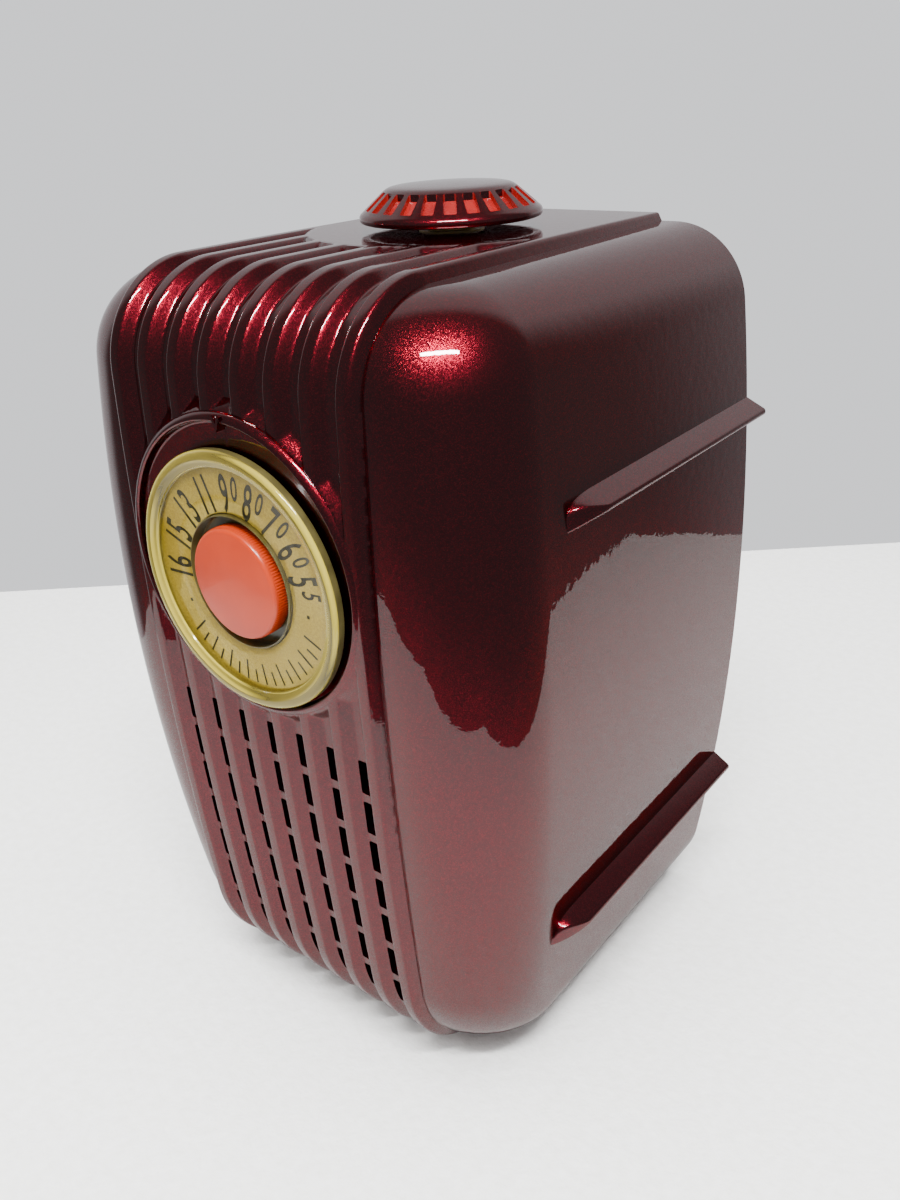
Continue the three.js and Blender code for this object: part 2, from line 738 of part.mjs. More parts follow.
function loopAerial() {
  const ringShape = (halfX, halfZ, radius, shape) => {
    shape.absarc(halfX - radius, 110 + halfZ - radius, radius, 0, Math.PI / 2);
    shape.absarc(radius - halfX, 110 + halfZ - radius, radius, Math.PI / 2, Math.PI);
    shape.absarc(radius - halfX, 110 - halfZ + radius, radius, Math.PI, 1.5 * Math.PI);
    shape.absarc(halfX - radius, 110 - halfZ + radius, radius, 1.5 * Math.PI, 2 * Math.PI);
    shape.closePath();
    return shape;
  };
  const outer = ringShape(58, 86, 14, new THREE.Shape());
  outer.holes.push(ringShape(50, 78, 8, new THREE.Path()));
  return slab(outer, 64.7, 66.7, 4);
}

// Pull-up handle
const HANDLE = { rim: 230.8, top: 240, stemFoot: 192 };

function handleDisc() {
  const r = HANDLE_RADIUS;
  const shell = [
    [0, HANDLE.top - 2],
    [16, HANDLE.top - 2.4],
    [r - 2.8, HANDLE.rim + 1],
    [r - 2.8, HANDLE.rim],
    [r - 0.6, HANDLE.rim],
    [r, HANDLE.rim + 0.7],
    [r, HANDLE.rim + 1.7],
    [r - 0.9, HANDLE.rim + 2.6],
    [17.6, HANDLE.top - 1.2],
    [16, HANDLE.top - 0.4],
    [0, HANDLE.top],
  ];
  const slots = [];
  for (let i = 0; i < 24; i++) {
    const slot = new THREE.BoxGeometry(5, 2.2, 14).translate(20.6, 0, HANDLE.top - 4);
    slots.push(solid(slot.rotateZ((i / 24) * 2 * Math.PI).translate(0, HANDLE_Y, 0)));
  }
  const stemBoss = upright(ring(4.1, 8, HANDLE.rim - 0.5, HANDLE.top - 1.5), 0, HANDLE_Y, 16);
  return cut(upright(shell, 0, HANDLE_Y, 36), [join(slots)]).add(stemBoss);
}

const handleBush = () =>
  upright(
    [
      [4, TOP - 9.5],
      [6.5, TOP - 9.5],
      [6.5, TOP + GAP],
      [9, TOP + GAP],
      [9, TOP + 0.9],
      [4, TOP + 0.9],
    ],
    0,
    HANDLE_Y,
    20,
  );

// Assembly: the fixed parts first, then each moving group
add("cabinet", cabinet(), FINISH.lacquer);
add("rear_cover", rearCover(), FINISH.board);
POSTS.flatMap(([x, z]) => [[-x, z], [x, z]]).forEach(([x, z], i) => {
  add("cover_screw_" + (i + 1), along(screwProfile(56, COVER.rear + GAP, 1.7), x, z, 10), FINISH.steel);
});
FEET.forEach(([x, y], i) => {
  const profile = [
    [0, 0],
    [6, 0],
    [6.4, 0.5],
    [6.4, UNDERSIDE - GAP],
    [2, UNDERSIDE - GAP],
    [2, 6],
    [0, 6],
  ];
  add("foot_" + (i + 1), upright(profile, x, y, 14), FINISH.rubber);
});
add("chassis", chassis(), FINISH.steel);
CHASSIS_SCREWS.forEach((x, i) => {
  const profile = screwProfile(9, UNDERSIDE - GAP, -1);
  add("chassis_screw_" + (i + 1), upright(profile, x, CHASSIS_SCREW_Y, 10), FINISH.steel);
});
TUBES.forEach((place, i) => {
  add("tube_socket_" + (i + 1), socket(place), FINISH.bakelite);
  add("tube_" + (i + 1), tube(place), FINISH.glass);
});
add("if_can_1", roundedBox(9, 9, 2, -20, 22, [DECK + GAP, DECK + 44]), FINISH.aluminium);
add("if_can_2", roundedBox(9, 9, 2, 3, 22, [DECK + GAP, DECK + 44]), FINISH.aluminium);
add("electrolytic_can", upright(disc(8.5, DECK + GAP, DECK + 46), 26, 20, 18), FINISH.aluminium);
add("oscillator_coil", upright(disc(6, DECK + GAP, DECK + 30), -44, 14, 14), FINISH.wax);
add("output_transformer", outputTransformer(), FINISH.steel);
add("loop_aerial", loopAerial(), FINISH.wax);
add("inlet_grommet", along(ring(2, 4.1, 65.5, 71), INLET.x, INLET.z, 16), FINISH.rubber);
add("grille_cloth", box([-46, 46], [-46.1, -45.6], [28.2, 120]), FINISH.cloth);
add("baffle_board", baffle(), FINISH.board);
add("speaker_frame", speakerFrame(), FINISH.steel);
add("speaker_magnet", speakerMagnet(), FINISH.steel);
add("capacitor_frame", capacitorFrame(), FINISH.aluminium);
add("volume_control", along(ring(3.3, 12, PANEL.y + PANEL.thick + GAP, 6), 0, DIAL_Z, 20), FINISH.bakelite);
add("drive_cord", driveCord(), FINISH.cloth);
add("dial_bush", along(ring(5.35, 7.5, HUB.rear + GAP, -47), 0, DIAL_Z, 20), FINISH.brass);
add("handle_bush", handleBush(), FINISH.brass);

add("dial_disc", along(ring(HUB.well, DIAL_RADIUS - 2.5, DISC.front, DISC.rear), 0, DIAL_Z, 40), FINISH.gold);
add("dial_lens", dialLens(), FINISH.clear);
add("tuning_hub", tuningHub(), FINISH.brass);
add("dial_shaft", along(ring(3.4, 5, HUB.rear - 1, DRUM.high), 0, DIAL_Z, 18), FINISH.brass);
add("dial_drum", drum(DIAL_DRUM, 5.3, DIAL_Z), FINISH.bakelite);

add("volume_knob", volumeKnob(), FINISH.knob);
add("volume_shaft", along(disc(2.9, KNOB.tip + 2.9, 4), 0, DIAL_Z, 14), FINISH.steel);

add("capacitor_rotor", capacitorRotor(), FINISH.aluminium);
add("capacitor_drum", drum(TUNER_DRUM, 2.8, TUNER_Z), FINISH.bakelite);

add("speaker_cone", speakerCone(), FINISH.paper);

add("handle_disc", handleDisc(), FINISH.lacquer);
add("handle_stem", upright(disc(3.7, HANDLE.stemFoot, HANDLE.top - 2.8), 0, HANDLE_Y, 16), FINISH.steel);
add(
  "handle_collar",
  upright(ring(4, 7.4, HANDLE.stemFoot + 0.2, HANDLE.stemFoot + 4.2), 0, HANDLE_Y, 16),
  FINISH.steel,
);

export default radio;
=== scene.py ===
import json
import math

import bpy
import numpy as np
from mathutils import Matrix, Vector


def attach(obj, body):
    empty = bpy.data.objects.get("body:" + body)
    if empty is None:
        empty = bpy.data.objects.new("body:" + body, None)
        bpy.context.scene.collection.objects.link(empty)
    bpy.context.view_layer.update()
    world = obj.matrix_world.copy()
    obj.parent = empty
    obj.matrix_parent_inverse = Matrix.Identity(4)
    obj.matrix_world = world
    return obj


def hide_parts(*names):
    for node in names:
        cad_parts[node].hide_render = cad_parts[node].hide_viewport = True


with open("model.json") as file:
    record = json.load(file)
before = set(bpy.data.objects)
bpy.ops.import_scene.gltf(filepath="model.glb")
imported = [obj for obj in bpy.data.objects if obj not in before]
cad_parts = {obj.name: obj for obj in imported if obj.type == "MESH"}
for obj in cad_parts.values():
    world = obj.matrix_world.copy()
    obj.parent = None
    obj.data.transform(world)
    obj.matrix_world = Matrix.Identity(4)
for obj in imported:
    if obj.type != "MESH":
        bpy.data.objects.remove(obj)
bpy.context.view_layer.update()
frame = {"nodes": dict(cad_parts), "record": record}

MM = 0.001
MIDDLE = 3.3

# Driving dimensions of the cabinet, the same as the frame's
REAR = 72.0
TOP = 229.0
UNDERSIDE = 2.0
STEP = 3.0
WALL = 3.0
BAND_HALF = 39.7
STEP_DRAFT = 1.6
# A bowed wall: its crest and the level of that, the bow's radius, and the rounding at its top and foot
FRONT = {"crest": 62.0, "level": 145.0, "bow": 1100.0, "top": 203.0, "top_radius": 26.0}
FRONT.update({"foot": 42.0, "foot_radius": 40.0, "foot_angle": 0.094})
SIDE = {"crest": 71.4, "level": 130.0, "bow": 660.0, "top": 204.0, "top_radius": 22.0}
SIDE.update({"foot": 26.0, "foot_radius": 24.0, "foot_angle": 0.157})
CORNER = 26.0
RIBS = 8
RIB = 3.5
GROOVE_DEPTH = 2.7
GROOVE_SLOPE = 0.78
PITCH = (2 * BAND_HALF - RIB) / (RIBS - 1)
FLANK = GROOVE_SLOPE * GROOVE_DEPTH
FLOOR = PITCH - RIB - 2 * FLANK
CROWN_DROP = 0.8
SLOT = {"rows": 7, "top": 115.2, "pitch": 12.8, "height": 10.2}
DIAL_Z = 157.2
BOSS = {"z": 160.2, "edge": 39.3, "crest": 37.7, "recess": 37.0, "proud": 0.6, "deep": 1.8, "well": 4.4}
# Radii of the holes behind the knob, for the dial's bush and for the top disc's stem
BORE = {"well": 21.0, "bush": 7.8, "stem": 6.8}
HANDLE_Y = 28.0

# Dial, knob and top disc. The lens and the print are shaped more finely than the frame's
DIAL_RADIUS = 33.6
KNOB_RADIUS = 14.6
KNOB = {"tip": -65.4, "rear": -59.5}
WELL = 17.4
PRINT = -61.95
LENS = {"rear": -61.7, "face": -62.75, "crest": -64.1, "window": 29.3, "rim": 31.0}
HANDLE_RADIUS = 24.9
HANDLE_TOP = 240.0
HANDLE_RIM = 230.8
# Pockets in the top disc: how many, how deep, the radius they are centred on, and the cone they are cut in
POCKET = {"count": 24, "deep": 1.5, "reach": 20.55, "rise": 5.25, "slope": 0.86}

# Studio, in radians and metres, with the lens in millimetres
CAMERA = {"azimuth": 0.683, "elevation": 0.454, "roll": -0.055, "lens": 32.13}
CAMERA_PLACE = (0.1895, -0.2178, 0.2653)
FLOOR_SIZE = {"behind": 0.30, "before": 5.0, "half": 4.0}
# The floor that reflections see: smaller and darker than the visible one, and just above it
TABLE = [(-0.3, -0.333), (0.028, -0.333), (0.228, -0.17), (0.295, 0.38), (-0.3, 0.38)]
TABLE_LEVEL = 0.0004
AIM = (0, 0, 0.12)
# Lights that face AIM: name, direction, distance, size, power, and whether reflections show it
LIGHTS = [
    ("overhead", (0.1, -0.25, 1), 1.6, (1.6, 1.6), 78, False),
    ("fill", (0.6, -1, 0.5), 1.8, (1.2, 1.2), 9, False),
    ("key", (0.35, -0.4, 0.85), 1.2, (0.6, 0.07), 29, True),
]
# World: bright on the side away from the camera and dark elsewhere, with its own strength where
# the camera sees it directly
SKY = {"dark": 0.17, "bright": 0.8, "fade_from": 0.3, "fade_to": 0.55, "seen": 1.1}
SKY_SIDE = (-0.631, 0.776, 0.12)
SKY_COLOR = (0.96, 0.97, 1.0, 1)


# ---------------------------------------------------------------- mesh helpers
def mesh_object(name, points, faces, smooth=None):
    """A mesh from points in millimetres. Faces that meet at under smooth degrees shade as one."""
    mesh = bpy.data.meshes.new(name)
    mesh.from_pydata(((np.asarray(points, float) - (0, MIDDLE, 0)) * MM).tolist(), [], faces)
    mesh.validate()
    mesh.update()
    obj = bpy.data.objects.new(name, mesh)
    bpy.context.scene.collection.objects.link(obj)
    if smooth is not None:
        shade(obj, smooth)
    return obj


def shade(obj, degrees):
    mesh = obj.data
    mesh.shade_smooth()
    mesh.set_sharp_from_angle(angle=math.radians(degrees))


def volume(obj):
    mesh = obj.data
    mesh.calc_loop_triangles()
    corners = np.array([[mesh.vertices[i].co[:] for i in t.vertices] for t in mesh.loop_triangles])
    return np.einsum("ij,ij->i", corners[:, 0], np.cross(corners[:, 1], corners[:, 2])).sum() / 6


def outward(obj):
    if volume(obj) < 0:
        obj.data.flip_normals()
    return obj


def rings(count, length, closed=True):
    """Faces of a skin over count rings of length points each."""
    faces = []
    around = length if closed else length - 1
    for ring in range(count - 1):
        for i in range(around):
            a = ring * length + i
            b = ring * length + (i + 1) % length
            faces.append((a, b, b + length, a + length))
    return faces


def loft(name, stack):
    """A closed body over a stack of rings, given as an array [ring, point, xyz]."""
    count, length, _ = stack.shape
    faces = rings(count, length)
    faces.append(tuple(reversed(range(length))))
    faces.append(tuple(range((count - 1) * length, count * length)))
    return outward(mesh_object(name, stack.reshape(-1, 3), faces))


def lathe(name, profile, segments, centre, axis, smooth=30, wobble=None):
    """A body of revolution. profile is [radius, height] in millimetres; a radius of 0 closes it on the axis.
    axis "y" has height along Y and centre as [x, z]; axis "z" is upright and has centre as [x, y]."""
    profile = np.asarray(profile, float)
    angles = np.arange(segments) / segments * 2 * math.pi
    points, index = [], []
    for number, (radius, height) in enumerate(profile):
        if radius == 0:
            index.append([len(points)] * segments)
            points.append((0.0, 0.0, height))
            continue
        around = radius * np.ones(segments) if wobble is None else radius + wobble(number, angles)
        index.append(list(range(len(points), len(points) + segments)))
        points.extend(zip(around * np.cos(angles), around * np.sin(angles), [height] * segments))
    points = np.array(points)
    closed = profile[0][0] > 0
    faces = []
    for k in range(len(profile) if closed else len(profile) - 1):
        low, high = index[k], index[(k + 1) % len(profile)]
        for i in range(segments):
            j = (i + 1) % segments
            corners = [low[i], low[j], high[j], high[i]]
            face = [c for n, c in enumerate(corners) if c not in corners[:n]]
            if len(face) > 2:
                faces.append(tuple(face))
    if axis == "y":
        points = np.stack([points[:, 0], points[:, 2], points[:, 1]], 1)
        points += np.array([centre[0], 0, centre[1]])
    else:
        points += np.array([centre[0], centre[1], 0])
    return outward(mesh_object(name, points, faces, smooth))


def apply(obj):
    mesh = bpy.data.meshes.new_from_object(obj.evaluated_get(bpy.context.evaluated_depsgraph_get()))
    obj.modifiers.clear()
    obj.data = mesh


def combine(whole, tool, operation):
    modifier = whole.modifiers.new("combine", "BOOLEAN")
    modifier.solver = "MANIFOLD"
    modifier.operation = operation
    modifier.object = tool
    apply(whole)
    bpy.data.objects.remove(tool)


def join(name, objs):
    """One object from several, which are removed."""
    points, faces, base = [], [], 0
    for obj in objs:
        points.extend(v.co[:] for v in obj.data.vertices)
        faces.extend(tuple(base + i for i in p.vertices) for p in obj.data.polygons)
        base = len(points)
        bpy.data.objects.remove(obj)
    return mesh_object(name, np.array(points) / MM + (0, MIDDLE, 0), faces)


def prism(name, outline, low, high, place):
    """A closed body over a flat outline; place turns [u, v, depth] arrays into xyz points."""
    outline = np.asarray(outline, float)
    u, v = outline.T
    layers = [np.stack(place(u, v, np.full(len(outline), d)), 1) for d in (low, high)]
    return loft(name, np.array(layers))


def rounded_outline(half_u, half_v, radius, steps):
    """Outline of a rectangle with rounded corners, about the origin."""
    points = []
    for quarter, (u, v) in enumerate([(1, 1), (-1, 1), (-1, -1), (1, -1)]):
        for i in range(steps + 1):
            angle = (quarter + i / steps) * math.pi / 2
            across = u * (half_u - radius) + radius * math.cos(angle)
            points.append((across, v * (half_v - radius) + radius * math.sin(angle)))
    return np.array(points)


# ---------------------------------------------------------------- cabinet
def reach(side, z, inset, foot_inset=None):
    """How far out a bowed wall stands at each height, with its rounded top and foot run smoothly into it."""
    z = np.asarray(z, float)
    foot_inset = inset if foot_inset is None else foot_inset
    bow = lambda height: side["crest"] - (height - side["level"]) ** 2 / (2 * side["bow"])
    tangent = side["top"]
    for _ in range(6):
        slope = math.atan((tangent - side["level"]) / side["bow"])
        tangent = side["top"] + side["top_radius"] * math.sin(slope)
    top_centre = bow(tangent) - side["top_radius"] * math.cos(slope)
    top_radius = side["top_radius"] - inset
    top = top_centre + np.sqrt(np.clip(top_radius**2 - (z - side["top"]) ** 2, 0, None))
    meet = side["foot"] - side["foot_radius"] * math.sin(side["foot_angle"])
    foot_centre = bow(meet) - side["foot_radius"] * math.cos(side["foot_angle"]) + foot_inset - inset
    foot_radius = side["foot_radius"] - foot_inset
    foot = foot_centre + np.sqrt(np.clip(foot_radius**2 - (side["foot"] - z) ** 2, 0, None))
    top_start = side["top"] + top_radius * math.sin(slope)
    return np.where(z > top_start, top, np.where(z < meet, foot, bow(z) - inset))


def shell_levels(inset):
    low = UNDERSIDE + inset
    high = TOP - STEP - inset
    foot_angles = np.linspace(0, 1.45, 22)
    foot = FRONT["foot"] - (FRONT["foot"] - low) * np.cos(foot_angles)
    middle = np.linspace(foot[-1], SIDE["top"], 30)[1:]
    top = SIDE["top"] + (high - SIDE["top"]) * np.sin(np.linspace(0, math.pi / 2, 22))[1:]
    return np.concatenate([foot, middle, top])


def shell(name, inset, rear, turn_steps):
    """The moulding under the band: a stack of plan sections with rounded front corners."""
    stack = []
    levels = shell_levels(inset)
    half = reach(SIDE, levels, inset)
    front = reach(FRONT, levels, STEP + inset, foot_inset=inset)
    bow = SIDE["crest"] - (levels - SIDE["level"]) ** 2 / (2 * SIDE["bow"])
    radius = np.maximum(CORNER - inset - (bow - half - inset), 4)
    turn = np.linspace(0, math.pi / 2, turn_steps)
    for z, x, y, r in zip(levels, half, front, radius):
        along = np.linspace(rear, r - y, 8)[:-1]
        left = np.stack([np.full(7, -x), along], 1)
        first = np.stack([r - x - r * np.cos(turn), r - y - r * np.sin(turn)], 1)
        across = np.linspace(r - x, x - r, 8)[1:-1]
        middle = np.stack([across, np.full(6, -y)], 1)
        second = np.stack([x - r + r * np.sin(turn), r - y - r * np.cos(turn)], 1)
        right = np.stack([np.full(7, x), along[::-1]], 1)
        plan = np.concatenate([left, first, middle, second, right])
        stack.append(np.column_stack([plan, np.full(len(plan), z)]))
    return loft(name, np.array(stack))


def band_path():
    """The band's line as y, z and its outward normals, from underneath, up the front and over the top."""
    meet = FRONT["foot"] - FRONT["foot_radius"] * math.sin(FRONT["foot_angle"])
    bow = lambda height: FRONT["crest"] - (height - FRONT["level"]) ** 2 / (2 * FRONT["bow"])
    tangent = FRONT["top"]
    for _ in range(6):
        slope = math.atan((tangent - FRONT["level"]) / FRONT["bow"])
        tangent = FRONT["top"] + FRONT["top_radius"] * math.sin(slope)
    foot_centre = bow(meet) - FRONT["foot_radius"] * math.cos(FRONT["foot_angle"])
    top_centre = bow(tangent) - FRONT["top_radius"] * math.cos(slope)
    foot = np.linspace(-math.pi / 2, -FRONT["foot_angle"], 48)
    rise = np.linspace(meet, tangent, 230)[1:]
    head = np.linspace(slope, math.pi / 2, 50)[1:]
    back = np.linspace(-top_centre, REAR + 6, 130)[1:]
    drop = CROWN_DROP / (REAR + top_centre) ** 2
    y = [-(foot_centre + FRONT["foot_radius"] * np.cos(foot)), -bow(rise)]
    z = [FRONT["foot"] + FRONT["foot_radius"] * np.sin(foot), rise]
    normal_y = [-np.cos(foot), -np.cos(np.arctan((rise - FRONT["level"]) / FRONT["bow"]))]
    normal_z = [np.sin(foot), np.sin(np.arctan((rise - FRONT["level"]) / FRONT["bow"]))]
    y += [-(top_centre + FRONT["top_radius"] * np.cos(head)), back]
    z += [FRONT["top"] + FRONT["top_radius"] * np.sin(head), TOP - drop * (back + top_centre) ** 2]
    tilt = np.arctan(2 * drop * (back + top_centre))
    normal_y += [-np.cos(head), np.sin(tilt)]
    normal_z += [np.sin(head), np.cos(tilt)]
    return [np.concatenate(part) for part in (y, z, normal_y, normal_z)]


# Rounded top edge, sloped side and rounded foot of a groove:
# [distance from its edge in FLANKs, share of its depth]
GROOVE_WALL = [(-0.3, 0.0), (-0.16, 0.012), (-0.06, 0.035), (0.04, 0.085), (0.16, 0.17), (0.3, 0.3)]
GROOVE_WALL += [(0.5, 0.5), (0.7, 0.7), (0.83, 0.83), (0.92, 0.91), (1.02, 0.965), (1.15, 0.993)]
GROOVE_WALL += [(1.3, 1.0)]
# Edge of the band: [distance outwards, drop] in millimetres
BAND_EDGE = [(-0.9, 0.0), (-0.5, 0.05), (-0.2, 0.17), (0.05, 0.42), (0.3, 0.9)]
BAND_EDGE += [(STEP_DRAFT - 0.2, STEP), (1.9, 7.5)]


def band_columns():
    """Across the band: [x, groove depth, step depth] of each column."""
    columns = [(-BAND_HALF - away, 0.0, depth) for away, depth in reversed(BAND_EDGE)]
    for rib in range(RIBS - 1):
        edge = -BAND_HALF + RIB + rib * PITCH
        far = edge + PITCH - RIB
        columns.append((edge - RIB / 2, 0.0, 0.0))
        columns += [(edge + away * FLANK, share * GROOVE_DEPTH, 0.0) for away, share in GROOVE_WALL]
        columns.append(((edge + far) / 2, GROOVE_DEPTH, 0.0))
        columns += [(far - away * FLANK, share * GROOVE_DEPTH, 0.0) for away, share in reversed(GROOVE_WALL)]
    columns.append((BAND_HALF - RIB / 2, 0.0, 0.0))
    columns += [(BAND_HALF + away, 0.0, depth) for away, depth in BAND_EDGE]
    return np.array(columns)


def soft_min(a, b, k):
    """The smaller of two, rounded off where they are within k of each other."""
    h = np.clip(0.5 + 0.5 * (b - a) / k, 0, 1)
    return b * (1 - h) + a * h - k * h * (1 - h)


def band(name):
    """The ribbed band. Its grooves run out at the dial's boss, at the top disc's pad and underneath."""
    y, z, normal_y, normal_z = band_path()
    x, groove, step = band_columns().T
    grid_x = np.broadcast_to(x, (len(y), len(x)))
    grid_y, grid_z = np.broadcast_to(y[:, None], grid_x.shape), np.broadcast_to(z[:, None], grid_x.shape)
    dial_ramp = np.hypot(grid_x, grid_z - BOSS["z"]) - BOSS["edge"]
    dial_ramp = np.where(grid_y < -30, dial_ramp, 99.0)
    handle_ramp = np.hypot(grid_x, grid_y - HANDLE_Y) - BAND_HALF
    handle_ramp = np.where(grid_z > 200, np.where(grid_y > HANDLE_Y, -9.0, handle_ramp), 99.0)
    under = (grid_z - 6.4) * 2.2
    under = np.where(grid_y < 0, under, 99.0)
    ramp = np.clip(np.minimum(np.minimum(dial_ramp, handle_ramp), under), 0, 99)
    depth = np.where(groove > 0, np.maximum(soft_min(groove, ramp, 0.25), 0), 0.0) + step
    points = [grid_x, grid_y - depth * normal_y[:, None], grid_z - depth * normal_z[:, None]]
    return loft(name, np.stack(points, 2))


def band_bed(name):
    """The room cleared in the shell for the band."""
    y, z, normal_y, normal_z = [part[::4] for part in band_path()]
    stack = []
    half = BAND_HALF + 1.0
    for across, deep in [(-half, -2.0), (half, -2.0), (half, 6.0), (-half, 6.0)]:
        stack.append(np.stack([np.full(len(y), across), y - deep * normal_y, z - deep * normal_z], 1))
    return loft(name, np.array(stack).transpose(1, 0, 2))


def fin(name, side, root, edge, foot, front):
    """A wedge along one side. Its plan is a quarter ellipse at the front, run into the wall."""
    centre = root[0] - 5.5
    span = edge[0] + 0.5 - centre
    nose = np.linspace(0.12, 1, 26)
    long, soft, lip = 17, 0.55, 1.2
    curve = front + long - long * np.cos(nose * math.pi / 2)
    stations = np.concatenate([curve, np.linspace(front + long + 2, REAR, 12)])
    outer = np.concatenate([centre + span * np.sin(nose * math.pi / 2), np.full(12, centre + span)])
    slope_top = (root[1] - edge[1]) / (edge[0] - root[0])
    slope_foot = (edge[1] - lip - foot) / (edge[0] - root[0])
    base = root[0] - 8
    bevel = np.linspace(0, 1, 5)
    stack = []
    outer = np.minimum(outer, edge[0])
    taper = np.clip((outer - root[0] + 0.4) / (edge[0] - root[0] + 0.4), 0.02, 1) ** 0.6
    for y, x, full in zip(stations, outer, taper):
        low = foot + slope_foot * (x - root[0])
        top = low + lip + full * (root[1] - slope_top * (x - root[0]) - low - lip)
        head = low + lip + full * (root[1] - low - lip)
        ring = [(base, head), (root[0] - 3, head + 0.2)]
        for t in bevel:
            turn = t * math.pi / 2
            fall = soft * (1 - math.cos(turn)) - slope_top * soft * (1 - t)
            ring.append((x - soft + soft * math.sin(turn), top - fall))
        for t in bevel:
            turn = t * math.pi / 2
            lift = soft * (1 - math.sin(turn)) - slope_foot * soft * t
            ring.append((x - soft + soft * math.cos(turn), low + lift))
        ring += [(root[0] - 3, foot - 3 * slope_foot), (base, foot - 3 * slope_foot)]
        stack.append([(side * px, y, pz) for px, pz in ring])
    return loft(name, np.array(stack))


UPPER_FIN = {"root": (69.2, 180.5), "edge": (75.4, 176.2), "foot": 171.0, "front": -27.0}
LOWER_FIN = {"root": (68.0, 58.4), "edge": (72.8, 53.6), "foot": 50.0, "front": -29.0}


def grille_cutters():
    cutters = []
    outline = rounded_outline(FLOOR / 2, SLOT["height"] / 2, 0.5, 3)
    for column in range(RIBS - 1):
        for row in range(SLOT["rows"]):
            x = -BAND_HALF + (RIB + PITCH) / 2 + column * PITCH
            z = SLOT["top"] - row * SLOT["pitch"] - SLOT["height"] / 2
            place = lambda u, v, d, x=x, z=z: (x + u, d, z + v)
            cutters.append(prism("slot", outline, -70, -44, place))
    return join("slots", cutters)


def bead():
    """The raised ring round the dial's recess."""
    crown = -FRONT["crest"] - BOSS["proud"]
    foot = BOSS["edge"]
    wall = BOSS["recess"]
    profile = [(wall - 1, crown + 6), (wall - 1, crown + 0.2), (wall - 0.2, crown + 0.02)]
    profile += [(wall + 0.4, crown), (BOSS["crest"], crown + 0.04), (BOSS["crest"] + 0.55, crown + 0.22)]
    profile += [(foot - 0.6, crown + 0.62), (foot - 0.2, crown + 0.95)]
    profile += [(foot, crown + 1.4), (foot, crown + 6)]
    return lathe("bead", profile, 192, (0, BOSS["z"]), "y")


def recess():
    """The cutter of the shallow round recess that the dial stands in."""
    crown = -FRONT["crest"] - BOSS["proud"]
    floor = -FRONT["crest"] + BOSS["deep"]
    wall = BOSS["recess"]
    profile = [(0, -75), (wall + 0.75, -75), (wall + 0.75, crown - 0.02), (wall + 0.42, crown + 0.08)]
    profile += [(wall + 0.16, crown + 0.3), (wall, crown + 0.7), (wall - 0.15, floor - 0.5)]
    profile += [(wall - 0.4, floor - 0.15), (wall - 0.9, floor), (0, floor)]
    return lathe("recess", profile, 192, (0, BOSS["z"]), "y")


def dial_hole():
    """The cutter of the well behind the knob and of the bore for the dial's bush."""
    floor = -FRONT["crest"] + BOSS["well"]
    well, bush = BORE["well"], BORE["bush"]
    profile = [(0, -75), (well, -75), (well, floor), (bush, floor), (bush, -45), (0, -45)]
    return lathe("dial_hole", profile, 96, (0, DIAL_Z), "y")


def index_mark():
    """A small raised arrowhead over the dial that points down at the scale."""
    high = BOSS["z"] + BOSS["crest"] - 1.0
    outline = np.array([(-1.5, 3.0), (-0.6, 3.0), (0.0, 1.3), (0.6, 3.0), (1.5, 3.0), (0.0, -0.6)])
    crown = -FRONT["crest"] - BOSS["proud"]
    place = lambda u, v, d: (u + 0.4, crown + d, high - 1.0 + v)
    return prism("index_mark", outline[::-1], -0.4, 3.0, place)


def cabinet():
    body = shell("cabinet_body", 0.0, REAR, 26)
    combine(body, band_bed("bed"), "DIFFERENCE")
    combine(body, band("band"), "UNION")
    for side in (-1, 1):
        for sizes in (UPPER_FIN, LOWER_FIN):
            combine(body, fin("fin", side, **sizes), "UNION")
    combine(body, shell("hollow", WALL, REAR + 12, 12), "DIFFERENCE")
    combine(body, grille_cutters(), "DIFFERENCE")
    outline = rounded_outline(120, 170, 1, 1)
    behind = prism("behind", outline, REAR, REAR + 40, lambda u, v, d: (u, d, v + 120))
    combine(body, behind, "DIFFERENCE")
    combine(body, bead(), "UNION")
    combine(body, recess(), "DIFFERENCE")
    combine(body, index_mark(), "UNION")
    combine(body, dial_hole(), "DIFFERENCE")
    stem_hole = [(0, 215), (BORE["stem"], 215), (BORE["stem"], 235), (0, 235)]
    combine(body, lathe("stem_hole", stem_hole, 48, (0, HANDLE_Y), "z"), "DIFFERENCE")
    shade(body, 32)
    return body


# ---------------------------------------------------------------- dial, knob and top disc
def dial_face():
    profile = [(WELL, PRINT + 0.6), (WELL + 0.3, PRINT + 0.1), (WELL + 0.6, PRINT), (30.4, PRINT)]
    profile += [(31.0, PRINT + 0.15), (31.1, -61.1), (WELL, -61.1)]
    return lathe("dial_face", profile, 128, (0, DIAL_Z), "y", 40)


def dial_cover():
    """The clear lens: a flat window, then a rim that rises in a step, a broad bevel and a rounded edge."""
    edge, face, crest, rear = DIAL_RADIUS, LENS["face"], LENS["crest"], LENS["rear"]
    profile = [(WELL - 0.3, face + 0.15), (WELL - 0.1, face), (29.2, face), (29.45, face - 0.12)]
    profile += [(29.6, face - 0.5), (29.8, face - 0.62), (30.4, face - 0.66), (31.0, crest + 0.32)]
    profile += [(31.3, crest + 0.06), (31.6, crest), (edge - 1.3, crest), (edge - 0.7, crest + 0.12)]
    profile += [(edge - 0.25, crest + 0.45), (edge, crest + 0.95), (edge, -61.3), (edge - 0.2, -61.05)]
    profile += [(edge - 1.9, -61.0), (31.3, rear + 0.1), (31.1, rear - 0.45), (30.8, rear - 0.5)]
    profile += [(WELL - 0.3, rear - 0.5)]
    return lathe("dial_cover", profile, 192, (0, DIAL_Z), "y", 28)


